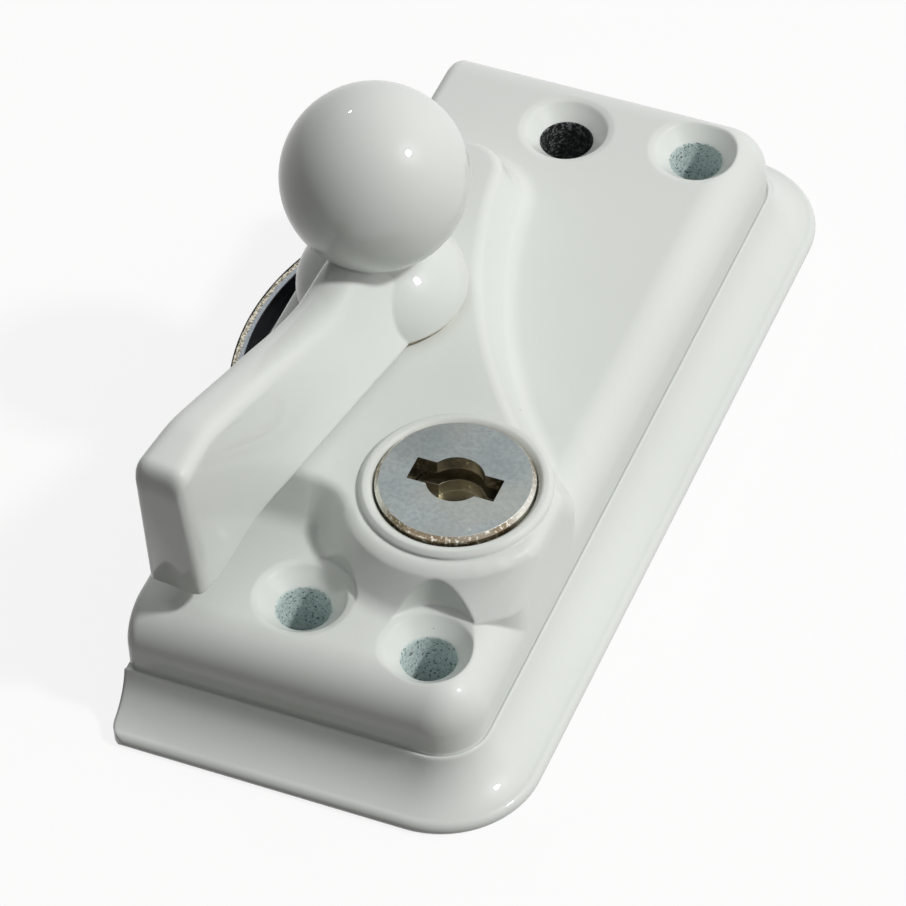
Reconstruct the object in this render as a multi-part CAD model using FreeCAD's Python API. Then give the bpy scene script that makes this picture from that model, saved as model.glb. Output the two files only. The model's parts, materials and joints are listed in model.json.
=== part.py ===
"""Window pivot lock: a white die-cast housing that screws flat to the edge of a
window, a swing arm with a ball knob on a steel spindle, a steel hook cam that
reaches out through the housing's left face, and a key lock that blocks the cam.

Millimetres, +Z up from the mounting face. The origin is the centre of the
housing's footprint on the mounting face. -X is the flat side that lies along
the window's edge, and -Y is the end that the arm points to.
"""
import FreeCAD
import Part
import math
import os

V = FreeCAD.Vector
UP = V(0, 0, 1)

# Housing
body_length = 80.0
body_width = 34.0
base_corner_r = 8.3
left_corner_r = 1.4
left_edge_r = 1.0
plate_height = 10.65
wall = 2.0
lip_height = 1.1
lip_inset = 0.7
cove_r = 5.0
ledge_inset = 4.0
ledge_height = 4.75
groove_width = 0.3
groove_depth = 0.15
plate_edge_r = 3.6

# Raised platform that carries the pivot and the lock
platform_height = 14.57
platform_slope = 2.25
platform_edge_r = 1.1
platform_foot_r = 1.6
platform_near_inset = 20.5
platform_far_inset = 19.3
platform_far_r = 3.2
platform_sweep_r = 50.25
platform_sweep_x = 43.6
platform_sweep_lead = 1.9
notch_r = 4.2

# Pivot of the swing arm
pivot_x = -9.8
pivot_near_inset = 41.5
arm_travel = 100.0
journal_r = 3.5
journal_clearance = 0.05
pivot_sleeve_r = 6.4
pivot_sleeve_bottom = 7.4
square_across = 5.2
square_clearance = 0.05
socket_r = 3.0
socket_depth = 4.5
seat_gap = 0.03

# Swing arm, measured along its own length from the pivot
arm_angle = 5.0
hub_r = 7.15
hub_skirt = 0.6
dome_rise = 5.5
ball_r = 7.8
ball_centre_height = 27.8
neck_fillet = 2.4
arm_root_fillet = 1.7
arm_gap = 0.45
arm_root_top = 19.2
arm_tip_top = 28.0
arm_tip_reach = 37.4
arm_foot_reach = 34.4
arm_belly_reach = 25.0
arm_foot_bottom = 12.55
foot_land = 1.2
arm_root_half = 4.75
arm_tip_half = 2.4
arm_draft = 2.9
arm_nose_r = 2.6
arm_top_edge_r = 1.5

# Hook cam of bent steel sheet
sheet = 0.9
cam_bottom = 4.4
rim_top = 8.3
hook_r = 22.8
hook_centre_dx = 10.7
hook_centre_dy = -0.6
hook_half_width = 8.5
hook_neck_half = 6.4
hook_shoulder = 8.0
hook_corner_r = 1.2
cam_disc_r = 7.0
slot_clearance = 0.4

# Washers and rings on the spindle
hub_washer_r = 6.7
hub_washer_thick = 0.36
disc_spring_r = 6.0
disc_spring_thick = 0.5
thrust_washer_r = 4.9
thrust_washer_thick = 0.7
ring_thick = 0.8
ring_groove_depth = 0.5
barrel_ring_r = 6.35
ring_gap_angle = 50.0
spindle_end = 0.8

# Key lock
lock_x = 4.2
lock_near_inset = 23.3
boss_r = 9.0
boss_corner_r = 3.0
rim_height = 0.6
rim_width = 1.2
rim_root = 0.4
head_r = 6.5
head_gap = 0.15
head_top = 15.5
head_bevel = 0.35
head_height = 1.9
barrel_r = 5.4
barrel_clearance = 0.03
face_thick = 1.3
chamber_r = 4.1
barrel_bottom = 6.4
lock_sleeve_wall = 2.0
lock_sleeve_bottom = 7.9
key_shank_r = 2.4
key_wing_span = 7.5
key_wing_width = 2.4
key_socket_depth = 1.2

# Follower and locking lever
key_travel = 60.0
follower_top = 12.8
follower_head = 3.0
follower_r = 2.8
follower_clearance = 0.05
follower_square = 4.0
lever_width = 4.0
lever_bite = 1.8
lever_hub_r = 4.2
lever_clearance = 0.4
screw_r = 1.5
screw_head_r = 2.7
screw_head_height = 1.6
screw_length = 3.2
screw_slot_width = 0.7
screw_slot_depth = 0.7
lever_washer_r = 3.4
lever_washer_thick = 0.6

# Screw holes
left_hole_x = -4.25
left_hole_inset = 11.4
right_hole_x = 7.15
right_hole_inset = 10.0
screw_hole_r = 2.25
countersink_r = 3.3
countersink_depth = 1.5
countersink_lip = 0.5
column_r = 4.4
web_width = 1.6
web_foot = 1.5

# Stop rib inside the housing
rib_width = 4.0
rib_setback = 1.5
rib_gap = 1.4
stop_pad_width = 3.0
stop_gap = 0.5

left = -body_width / 2
right = body_width / 2
near = -body_length / 2
far = body_length / 2
platform_near_y = near + platform_near_inset
platform_far_y = far - platform_far_inset
lock_y = near + lock_near_inset
pivot_y = near + pivot_near_inset
plate_ceiling = plate_height - wall
platform_ceiling = platform_height - wall
wall_inset = ledge_inset + groove_width
flat_inset = wall_inset + plate_edge_r
countersink_rim = countersink_r + countersink_lip * 2
cam_top = cam_bottom + sheet
pivot = V(pivot_x, pivot_y, 0)
lock = V(lock_x, lock_y, 0)
hub_bottom = platform_height + arm_gap
arm_axis = V(-math.sin(math.radians(arm_angle)), -math.cos(math.radians(arm_angle)), 0)
arm_across = V(-arm_axis.y, arm_axis.x, 0)


def cylinder(radius, bottom, top, at):
    """Upright cylinder at a point in plan."""
    return Part.makeCylinder(radius, top - bottom, V(at.x, at.y, bottom), UP)


def tube(outer, inner, bottom, top, at):
    """Upright ring."""
    return cylinder(outer, bottom, top, at).cut(cylinder(inner, bottom - 1, top + 1, at))


def box(x0, x1, y0, y1, z0, z1):
    """Box between two corners."""
    return Part.makeBox(x1 - x0, y1 - y0, z1 - z0, V(x0, y0, z0))


def revolve(edges, at):
    """Solid of revolution about an upright axis, from edges drawn in the XZ plane."""
    face = Part.Face(Part.Wire(Part.sortEdges(edges)[0]))
    solid = face.revolve(V(0, 0, 0), UP, 360)
    solid.translate(at)
    return solid


def polygon(points):
    """Straight edges through the points, closed."""
    ends = points[1:] + points[:1]
    return [Part.LineSegment(a, b).toShape() for a, b in zip(points, ends)]


def turned(shape, at, angle):
    """Copy of the shape turned about an upright axis."""
    copy = shape.copy()
    copy.rotate(at, UP, angle)
    return copy


def square_bar(across, radius, bottom, top, at):
    """Round bar with four flats."""
    half = across / 2
    flats = box(at.x - half, at.x + half, at.y - half, at.y + half, bottom, top)
    return cylinder(radius, bottom, top, at).common(flats)


def moulded_path(inset, start_x):
    """Near side, right side and far side of the footprint, moved inwards."""
    r = base_corner_r - inset
    x = right - inset
    y = far - inset
    k = r * (1 - math.sqrt(0.5))
    near_line = Part.LineSegment(V(start_x, -y, 0), V(x - r, -y, 0))
    near_arc = Part.Arc(V(x - r, -y, 0), V(x - k, -y + k, 0), V(x, -y + r, 0))
    side = Part.LineSegment(V(x, -y + r, 0), V(x, y - r, 0))
    far_arc = Part.Arc(V(x, y - r, 0), V(x - k, y - k, 0), V(x - r, y, 0))
    far_line = Part.LineSegment(V(x - r, y, 0), V(start_x, y, 0))
    return [part.toShape() for part in (near_line, near_arc, side, far_arc, far_line)]


def moulded_outline(inset, start_x):
    """Closed footprint: the moulded path and the flat left side."""
    edges = moulded_path(inset, start_x)
    y = far - inset
    edges.append(Part.LineSegment(V(start_x, y, 0), V(start_x, -y, 0)).toShape())
    return Part.Wire(edges)


def moulded_block(inset, start_x, bottom, top):
    """Upright block over the footprint moved inwards."""
    block = Part.Face(moulded_outline(inset, start_x)).extrude(V(0, 0, top - bottom))
    block.translate(V(0, 0, bottom))
    return block


def moulding(profile, start_x):
    """Profile of (inset, height) edges swept round the three moulded sides."""
    wire = Part.Wire(Part.sortEdges(profile)[0])
    return Part.Wire(moulded_path(0, start_x)).makePipeShell([wire], True, False)


def lower_profile(start_x):
    """Section of the housing's skirt: lip, hollow cove, ledge and groove."""
    def at(inset, height):
        return V(start_x, near + inset, height)

    cove_start = at(lip_inset, lip_height)
    cove_end = at(ledge_inset - 0.05, ledge_height)
    chord = cove_end.sub(cove_start)
    sag = cove_r - math.sqrt(cove_r ** 2 - chord.Length ** 2 / 4)
    out = V(0, chord.z, -chord.y)
    out.normalize()
    cove_middle = cove_start + chord * 0.5 + out * sag
    crest = at(ledge_inset + 0.12, ledge_height)
    groove = at(wall_inset, ledge_height - groove_depth)
    back = at(flat_inset, ledge_height - groove_depth)
    foot_start = at(lip_inset * 0.2, 0)
    return [
        Part.LineSegment(at(flat_inset, 0), foot_start).toShape(),
        Part.Arc(foot_start, at(0, lip_height * 0.45), cove_start).toShape(),
        Part.Arc(cove_start, cove_middle, cove_end).toShape(),
        Part.LineSegment(cove_end, crest).toShape(),
        Part.LineSegment(crest, groove).toShape(),
        Part.LineSegment(groove, back).toShape(),
        Part.LineSegment(back, at(flat_inset, 0)).toShape(),
    ]


def upper_profile(start_x):
    """Section of the upper wall and the round that leads to the flat top."""
    def at(inset, height):
        return V(start_x, near + inset, height)

    round_start = at(wall_inset, plate_height - plate_edge_r)
    k = plate_edge_r * (1 - math.sqrt(0.5))
    round_middle = at(wall_inset + k, plate_height - k)
    round_end = at(flat_inset, plate_height)
    return [
        Part.LineSegment(at(flat_inset, 0), at(wall_inset, 0)).toShape(),
        Part.LineSegment(at(wall_inset, 0), round_start).toShape(),
        Part.Arc(round_start, round_middle, round_end).toShape(),
        Part.LineSegment(round_end, at(flat_inset, 0)).toShape(),
    ]


def sweep_centre():
    """Centre of the platform's hollow sweep, which starts beside the lock."""
    across = platform_sweep_x - (right - wall_inset)
    along = math.sqrt(platform_sweep_r ** 2 - across ** 2)
    return V(platform_sweep_x, lock_y + platform_sweep_lead + along, 0)


def arc_between(start, middle_from, middle_to, radius, centre, end):
    """Arc round a centre, bulging half way between two directions."""
    bisector = middle_from + middle_to
    bisector.normalize()
    return Part.Arc(start, centre + bisector * radius, end)


def platform_outline(grow, side_x, z):
    """Plan of the platform: near edge, notch, lock boss, hollow sweep and far corner."""
    x_out = left - boss_r
    near_y = platform_near_y - grow
    far_y = platform_far_y + grow
    r_boss = boss_r + grow
    r_notch = notch_r - grow
    r_far = platform_far_r + grow
    r_sweep = platform_sweep_r - grow
    sweep = sweep_centre()

    notch_y = near_y - r_notch
    notch_x = lock_x - math.sqrt((r_boss + r_notch) ** 2 - (notch_y - lock_y) ** 2)
    notch = V(notch_x, notch_y, 0)
    to_boss = lock.sub(notch)
    to_boss.normalize()
    notch_end = notch + to_boss * r_notch
    bisector = V(0, 1, 0) + to_boss
    bisector.normalize()
    notch_middle = notch + bisector * r_notch

    boss_near = lock - V(0, r_boss, 0)
    near_dx = side_x - boss_corner_r - lock_x
    near_dy = math.sqrt((r_boss - boss_corner_r) ** 2 - near_dx ** 2)
    near_corner = lock + V(near_dx, -near_dy, 0)
    near_turn = near_corner.sub(lock)
    near_turn.normalize()
    boss_end = lock + near_turn * r_boss
    side_start = near_corner + V(boss_corner_r, 0, 0)
    far_dx = sweep.x - side_x + boss_corner_r
    far_dy = math.sqrt((r_sweep + boss_corner_r) ** 2 - far_dx ** 2)
    side_corner = sweep - V(far_dx, far_dy, 0)
    side_end = side_corner + V(boss_corner_r, 0, 0)
    side_turn = sweep.sub(side_corner)
    side_turn.normalize()
    sweep_start = side_corner + side_turn * boss_corner_r
    far_centre_y = far_y - r_far
    far_centre_x = sweep.x - math.sqrt((r_sweep + r_far) ** 2 - (far_centre_y - sweep.y) ** 2)
    far_centre = V(far_centre_x, far_centre_y, 0)
    inwards = sweep.sub(far_centre)
    inwards.normalize()
    sweep_end = far_centre + inwards * r_far
    chord = sweep_start + sweep_end
    outwards = chord * 0.5 - sweep
    outwards.normalize()
    far_bisector = inwards + V(0, 1, 0)
    far_bisector.normalize()

    pieces = [
        Part.LineSegment(V(x_out, near_y, 0), V(notch_x, near_y, 0)),
        Part.Arc(V(notch_x, near_y, 0), notch_middle, notch_end),
        Part.Arc(notch_end, boss_near, boss_end),
        arc_between(boss_end, near_turn, V(1, 0, 0), boss_corner_r, near_corner, side_start),
        Part.LineSegment(side_start, side_end),
        arc_between(side_end, V(1, 0, 0), side_turn, boss_corner_r, side_corner, sweep_start),
        Part.Arc(sweep_start, sweep + outwards * r_sweep, sweep_end),
        Part.Arc(sweep_end, far_centre + far_bisector * r_far, V(far_centre_x, far_y, 0)),
        Part.LineSegment(V(far_centre_x, far_y, 0), V(x_out, far_y, 0)),
        Part.LineSegment(V(x_out, far_y, 0), V(x_out, near_y, 0)),
    ]
    wire = Part.Wire([piece.toShape() for piece in pieces])
    wire.translate(V(0, 0, z))
    return wire


def platform_block(inwards, top):
    """Sloped platform, or the hollow under it when moved inwards."""
    foot_z = top - (platform_height - plate_height)
    side_x = right - wall_inset - inwards
    foot = platform_outline(platform_slope - inwards, side_x, foot_z)
    crown = platform_outline(-inwards, side_x, top)
    block = Part.makeLoft([foot, crown], True, True)
    root = Part.Face(foot).extrude(V(0, 0, -plate_edge_r))
    return block.fuse(root).removeSplitter()


def top_edges(shape, height, clear_x):
    """Edges that lie in a level plane, without those on the left face."""
    found = []
    for edge in shape.Edges:
        bounds = edge.BoundBox
        level = abs(bounds.ZMin - height) < 0.01 and abs(bounds.ZMax - height) < 0.01
        if level and bounds.XMax > clear_x + 0.05:
            found.append(edge)
    return found


def make_platform():
    """Platform with a rounded crown, cut flush with the left face and the upper wall."""
    block = platform_block(0, platform_height)
    block = block.makeFillet(platform_edge_r, top_edges(block, platform_height, left - boss_r / 2))
    limit = moulded_block(wall_inset, left, ledge_height, platform_height)
    return block.common(limit)


def hollow():
    """Open space under the plate and under the platform."""
    start_x = left + wall
    inset = wall_inset + wall
    slope_inset = lip_inset + wall
    low = [
        V(start_x, near + slope_inset, -1),
        V(start_x, near + slope_inset, 0.4),
        V(start_x, near + inset, ledge_height),
        V(start_x, near + inset + 1, ledge_height),
        V(start_x, near + inset + 1, -1),
    ]
    flare = moulding(polygon(low), start_x)
    high = moulded_block(inset, start_x, -1, plate_ceiling)
    horizontal_wall = wall * 1.1
    under = platform_block(horizontal_wall, platform_ceiling)
    room = moulded_block(inset, start_x, plate_ceiling - wall, platform_ceiling)
    return high.fuse([flare, under.common(room)])


def countersink(place):
    """Cutter for a screw hole with a soft-lipped countersink."""
    lip_start = V(countersink_r, 0, plate_height - countersink_lip)
    lip_bend = V(countersink_r + countersink_lip * 0.6, 0, plate_height - countersink_lip * 0.35)
    lip_end = V(countersink_rim, 0, plate_height + 0.05)
    seat = V(screw_hole_r, 0, plate_height - countersink_depth)
    top = platform_height + 1
    points = [
        V(0, 0, -1),
        V(screw_hole_r, 0, -1),
        seat,
        lip_start,
        lip_bend,
        lip_end,
        V(lip_end.x, 0, top),
        V(0, 0, top),
    ]
    return revolve(polygon(points), place)


def corner_trims():
    """Cutters that round the skirt's upright corners at both ends of the left face."""
    r = left_corner_r
    trims = []
    for side in (-1, 1):
        low, high = sorted((side * (far - r), side * (far + 1)))
        block = box(left - 1, left + r, low, high, -1, ledge_height + 1)
        round_part = cylinder(r, -2, ledge_height + 2, V(left + r, side * (far - r), 0))
        trims.append(block.cut(round_part))
    return trims


def mirrored_pair(x, inset):
    """Plan positions of two screw holes, one set in from each end of the housing."""
    return [V(x, near + inset, 0), V(x, far - inset, 0)]


def make_lock_rim():
    """Rounded white rim that stands round the barrel's head."""
    inner = head_r + head_gap
    outer = inner + rim_width
    root = platform_height - rim_root
    top = platform_height + rim_height
    bevel = rim_width * 0.3
    points = [
        V(inner, 0, root),
        V(inner, 0, top - bevel),
        V(inner + bevel, 0, top),
        V(outer - bevel, 0, top),
        V(outer, 0, top - bevel),
        V(outer, 0, root),
    ]
    return revolve(polygon(points), lock)


def make_columns():
    """Screw columns under the plate, each with a web to the nearest end wall."""
    top = plate_ceiling + 0.3
    inside = moulded_block(wall_inset + 1, left + 0.5, 0, top)
    columns = []
    for place in left_screws + right_screws:
        end = math.copysign(far - wall_inset - 1, place.y)
        low, high = sorted((place.y, end))
        half = web_width / 2
        web = box(place.x - half, place.x + half, low, high, web_foot, top)
        column = cylinder(column_r, 0, top, place).fuse(web).common(inside)
        columns.append(column.cut(countersink(place)))
    return columns


def make_slot():
    """Cutter for the slot in the left wall that the hook swings through."""
    low = pivot_y - hook_half_width - slot_clearance
    sweep_r = hook_sweep_r() + slot_clearance
    high = pivot_y + math.sqrt(sweep_r ** 2 - (pivot_x - left - wall) ** 2)
    bottom = cam_bottom - slot_clearance
    top = rim_top + slot_clearance
    return box(left - 1, left + wall + 0.5, low, high, bottom, top)


def make_rib():
    """Rib across the middle with a pad that stops the hook when the arm is open."""
    top = plate_ceiling + 0.3
    start = pivot_x + cam_disc_r + rib_gap
    low = pivot_y - rib_setback - rib_width / 2
    rib = box(start, right - wall_inset - 1, low, low + rib_width, 0, top)
    flank = [V(0, hook_neck_half, 0), V(-hook_shoulder, hook_half_width, 0)]
    turn = FreeCAD.Rotation(UP, -arm_travel)
    inner, outer = [pivot + turn.multVec(point) for point in flank]
    along = outer.sub(inner)
    along.normalize()
    away = V(along.y, -along.x, 0)
    face_start = inner + away * stop_gap + along * (rib_gap + stop_gap)
    face_end = outer + away * stop_gap
    corners = [
        face_start,
        face_start + away * stop_pad_width,
        face_end + away * stop_pad_width,
        face_end,
    ]
    pad = Part.Face(Part.Wire(polygon(corners))).extrude(V(0, 0, top))
    return rib.fuse(pad)


def make_housing():
    """Die-cast housing, open underneath."""
    plate = moulding(upper_profile(left), left)
    plate = plate.fuse(moulded_block(flat_inset, left, 0, plate_height)).removeSplitter()
    shell = plate.fuse(make_platform()).removeSplitter()
    for place in right_screws:
        shell = shell.cut(countersink(place))
    foot = [edge for edge in shell.Edges if is_platform_foot(edge)]
    shell = shell.makeFillet(platform_foot_r, foot)
    for place in left_screws:
        shell = shell.cut(countersink(place))
    shell = shell.makeFillet(left_edge_r, [edge for edge in shell.Edges if is_left_edge(edge)])
    skirt = moulding(lower_profile(left), left)
    for trim in corner_trims():
        skirt = skirt.cut(trim)
    shell = shell.fuse(skirt).removeSplitter()
    shell = shell.cut(hollow()).fuse(make_columns()).cut(make_slot())

    sleeve = cylinder(pivot_sleeve_r, pivot_sleeve_bottom, platform_ceiling + 0.5, pivot)
    lock_sleeve_r = barrel_r + barrel_clearance + lock_sleeve_wall
    lock_sleeve = cylinder(lock_sleeve_r, lock_sleeve_bottom, platform_ceiling + 0.5, lock)
    lock_wall = lock_sleeve.common(moulded_block(wall_inset, left, 0, platform_height))
    shell = shell.fuse([make_rib(), sleeve, lock_wall, make_lock_rim()])

    cutters = [
        cylinder(journal_r + journal_clearance, 0, platform_height + 1, pivot),
        cylinder(barrel_r + barrel_clearance, 0, head_top, lock),
        cylinder(head_r + head_gap, head_top - head_height, head_top + 1, lock),
    ]
    for cutter in cutters:
        shell = shell.cut(cutter)
    return shell.removeSplitter()


def is_left_edge(edge):
    """True for the edges round the left face, apart from those on the mounting face."""
    bounds = edge.BoundBox
    return bounds.XMax < left + 0.01 and bounds.ZMax > 0.01


def is_platform_foot(edge):
    """True for the edges where the platform meets the plate's flat top."""
    bounds = edge.BoundBox
    level = abs(bounds.ZMin - plate_height) < 0.01 and abs(bounds.ZMax - plate_height) < 0.01
    inside_y = max(abs(bounds.YMin), abs(bounds.YMax)) < far - flat_inset - 0.1
    centre = V(edge.CenterOfMass.x, edge.CenterOfMass.y, 0)
    on_rim = min(centre.sub(place).Length for place in right_screws) < countersink_rim + 0.5
    return level and inside_y and bounds.XMin < right - flat_inset - 0.1 and not on_rim


def hook_sweep_r():
    """Distance from the pivot to the hook's far corner."""
    dy = -hook_half_width - hook_centre_dy
    corner_dx = hook_centre_dx - math.sqrt(hook_r ** 2 - dy ** 2)
    return math.hypot(corner_dx, hook_half_width)


def arm_point(reach, side, z):
    """Point given along and across the arm."""
    return pivot + arm_axis * reach + arm_across * side + V(0, 0, z)


def arm_envelope():
    """Block that narrows to the tip, with flat drafted sides."""
    slope = math.tan(math.radians(arm_draft))
    end = arm_tip_reach + arm_gap

    def corner(reach, side, z):
        half = arm_root_half + (arm_tip_half - arm_root_half) * reach / arm_tip_reach
        return arm_point(reach, side * (half - (z - hub_bottom) * slope), z)

    plan = [(0, -1), (0, 1), (end, 1), (end, -1)]
    floor = [corner(reach, side, arm_foot_bottom - arm_gap) for reach, side in plan]
    roof = [corner(reach, side, arm_tip_top + arm_gap) for reach, side in plan]
    outlines = [floor, roof]
    for i in range(len(plan)):
        outlines.append([floor[i - 1], floor[i], roof[i], roof[i - 1]])
    faces = [Part.Face(Part.Wire(polygon(points))) for points in outlines]
    return Part.Solid(Part.Shell(faces))


def arm_side_view():
    """Side view of the arm: level belly, hooked foot, raked end and rising top."""
    side = arm_root_half + arm_gap

    def at(reach, z):
        return arm_point(reach, -side, z)

    belly = at(arm_belly_reach, hub_bottom)
    foot_start = at(arm_foot_reach - foot_land, arm_foot_bottom)
    drop = (hub_bottom + arm_foot_bottom) / 2
    middle = at((arm_belly_reach + arm_foot_reach - foot_land) / 2, drop)
    curve = Part.BezierCurve()
    pull = (arm_foot_reach - foot_land - arm_belly_reach) * 0.4
    lead_in = at(arm_belly_reach + pull, hub_bottom)
    lead_out = at(arm_foot_reach - foot_land - pull, arm_foot_bottom + 0.35)
    curve.setPoles([belly, lead_in, middle, lead_out, foot_start])
    foot_end = at(arm_foot_reach, arm_foot_bottom)
    tip = at(arm_tip_reach, arm_tip_top)
    root_top = at(0, arm_root_top)
    root_bottom = at(0, hub_bottom)
    edges = [
        Part.LineSegment(root_bottom, belly).toShape(),
        curve.toShape(),
        Part.LineSegment(foot_start, foot_end).toShape(),
        Part.LineSegment(foot_end, tip).toShape(),
        Part.LineSegment(tip, root_top).toShape(),
        Part.LineSegment(root_top, root_bottom).toShape(),
    ]
    return Part.Face(Part.Wire(edges)).extrude(arm_across * side * 2)


def make_hub():
    """Dome, neck and ball knob."""
    skirt_top = hub_bottom + hub_skirt
    ellipse = Part.Ellipse(V(0, 0, skirt_top), hub_r, dome_rise)
    ellipse.rotate(FreeCAD.Placement(V(0, 0, skirt_top), FreeCAD.Rotation(V(1, 0, 0), 90)))
    dome = Part.ArcOfEllipse(ellipse, 0, math.pi / 2)
    crown = V(0, 0, skirt_top + dome_rise)
    edges = [
        Part.LineSegment(V(0, 0, hub_bottom), V(hub_r, 0, hub_bottom)).toShape(),
        Part.LineSegment(V(hub_r, 0, hub_bottom), V(hub_r, 0, skirt_top)).toShape(),
        dome.toShape(),
        Part.LineSegment(crown, V(0, 0, hub_bottom)).toShape(),
    ]
    ball = Part.makeSphere(ball_r, pivot + V(0, 0, ball_centre_height))
    knob = revolve(edges, pivot).fuse(ball)
    waist = [edge for edge in knob.Edges if is_waist(edge)]
    return knob.makeFillet(neck_fillet, waist)


def is_waist(edge):
    """True for the ring where the ball sinks into the dome."""
    bounds = edge.BoundBox
    level = bounds.ZLength < 0.01 and bounds.XLength > 1
    return level and hub_bottom + hub_skirt + 0.5 < bounds.ZMin < ball_centre_height - 1


def make_arm():
    """Swing arm, cast in one piece with its hub and ball knob."""
    blade = arm_side_view().common(arm_envelope()).Solids[0]
    blade = blade.makeFillet(arm_nose_r, top_edges(blade, arm_tip_top, left))
    ridge = [edge for edge in blade.Edges if is_ridge(edge)]
    blade = blade.makeFillet(arm_top_edge_r, ridge)
    hub = make_hub()
    arm = blade.fuse(hub).removeSplitter()
    seam = [edge for edge in arm.Edges if is_seam(edge, blade, hub)]
    arm = arm.makeFillet(min(arm_root_fillet, neck_fillet * 0.75), seam)
    socket = cylinder(socket_r, hub_bottom - 1, hub_bottom + socket_depth, pivot)
    return arm.cut(socket)


def is_seam(edge, blade, hub):
    """True for the edges where the blade's skin meets the hub's skin."""
    middle = edge.valueAt((edge.FirstParameter + edge.LastParameter) / 2)
    point = Part.Vertex(middle)
    on_blade = point.distToShape(blade.Shells[0])[0] < 0.01
    on_hub = point.distToShape(hub.Shells[0])[0] < 0.01
    return on_blade and on_hub and middle.z > hub_bottom + 0.05


def is_ridge(edge):
    """True for the two long top edges of the arm."""
    bounds = edge.BoundBox
    return bounds.ZMin > arm_root_top - 0.3 and bounds.YLength > arm_belly_reach / 2


def make_spindle():
    """Steel spindle: pressed end, journal, square and ring groove."""
    bottom = ring_groove_bottom() - spindle_end
    journal = cylinder(journal_r, cam_top + 0.6, hub_bottom - seat_gap, pivot)
    square = square_bar(square_across, journal_r, bottom, cam_top + 0.6, pivot)
    pressed = cylinder(socket_r, hub_bottom - seat_gap, hub_bottom + socket_depth - 0.2, pivot)
    groove_top = ring_groove_bottom() + ring_thick
    groove = tube(journal_r + 1, ring_core_r(), ring_groove_bottom(), groove_top, pivot)
    return journal.fuse([square, pressed]).cut(groove).removeSplitter()


def ring_core_r():
    """Radius of the spindle inside the ring's groove."""
    return square_across / 2 - ring_groove_depth


def ring_groove_bottom():
    """Height of the groove's lower side."""
    return cam_bottom - thrust_washer_thick - ring_thick - 2 * seat_gap


def open_ring(core_r, outer_r, bottom, at, open_angle):
    """Snap ring with a gap on one side."""
    ring = tube(outer_r, core_r + seat_gap, bottom + seat_gap / 2, bottom + ring_thick - seat_gap / 2, at)
    half = math.radians(ring_gap_angle / 2)
    reach = outer_r * 2
    corners = [
        V(at.x, at.y, bottom - 1),
        V(at.x + reach * math.cos(half), at.y - reach * math.sin(half), bottom - 1),
        V(at.x + reach * math.cos(half), at.y + reach * math.sin(half), bottom - 1),
    ]
    wedge = Part.Face(Part.Wire(polygon(corners))).extrude(V(0, 0, ring_thick + 2))
    return ring.cut(turned(wedge, at, open_angle))


def make_hook_cam():
    """Bent steel cam: drive disc with a notch for each end of travel, blade and hook."""
    centre = pivot + V(hook_centre_dx, hook_centre_dy, 0)
    outline = [
        V(0, -hook_neck_half, 0),
        V(0, hook_neck_half, 0),
        V(-hook_shoulder, hook_half_width, 0),
        V(-hook_r, hook_half_width, 0),
        V(-hook_r, -hook_half_width, 0),
        V(-hook_shoulder, -hook_half_width, 0),
    ]
    blade = Part.Face(Part.Wire(polygon(outline))).extrude(V(0, 0, rim_top - cam_bottom))
    blade.translate(pivot + V(0, 0, cam_bottom))
    base = cylinder(hook_r, cam_bottom, cam_top, centre).common(blade)
    rim = tube(hook_r, hook_r - sheet, cam_bottom, rim_top, centre).common(blade)
    disc = cylinder(cam_disc_r, cam_bottom, cam_top, pivot)
    cam = base.fuse([rim, disc]).removeSplitter()
    cam = cam.makeFillet(hook_corner_r, [edge for edge in cam.Edges if is_hook_corner(edge)])

    size = square_across / 2 + square_clearance
    hole = box(pivot_x - size, pivot_x + size, pivot_y - size, pivot_y + size, cam_bottom - 1, rim_top)
    closed_notch = lever_notch()
    open_notch = turned(closed_notch, pivot, arm_travel)
    return cam.cut([hole, closed_notch, open_notch]).removeSplitter()


def lever_notch():
    """Cutter for the notch in the cam that the locking lever swings into."""
    sweep = cylinder(lever_reach() + lever_clearance, cam_bottom - 1, rim_top, lock)
    line = pivot.sub(lock)
    half = lever_width / 2 + lever_clearance / 2
    gate = box(lock_x, lock_x + line.Length, lock_y - half, lock_y + line.Length, cam_bottom - 1, rim_top)
    angle = math.degrees(math.atan2(line.y, line.x))
    return sweep.common(turned(gate, lock, angle))


def is_hook_corner(edge):
    """True for the hook's two upright outer corners."""
    bounds = edge.BoundBox
    upright = bounds.ZLength > sheet and bounds.XLength < 0.01 and bounds.YLength < 0.01
    at_end = abs(abs(bounds.YMin - pivot_y) - hook_half_width) < 0.01
    centre = pivot + V(hook_centre_dx, hook_centre_dy, 0)
    outside = math.hypot(bounds.XMin - centre.x, bounds.YMin - centre.y) > hook_r - 0.01
    return upright and at_end and outside


def lever_reach():
    """Length of the locking lever from the lock's axis to its tip."""
    return pivot.sub(lock).Length - cam_disc_r + lever_bite


def make_disc_spring():
    """Conical spring washer between the housing's sleeve and the cam."""
    inner = journal_r + 0.2
    low = cam_top + seat_gap
    high = pivot_sleeve_bottom - seat_gap
    points = [
        V(inner, 0, high - disc_spring_thick),
        V(disc_spring_r, 0, low),
        V(disc_spring_r, 0, low + disc_spring_thick),
        V(inner, 0, high),
    ]
    return revolve(polygon(points), pivot)


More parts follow.
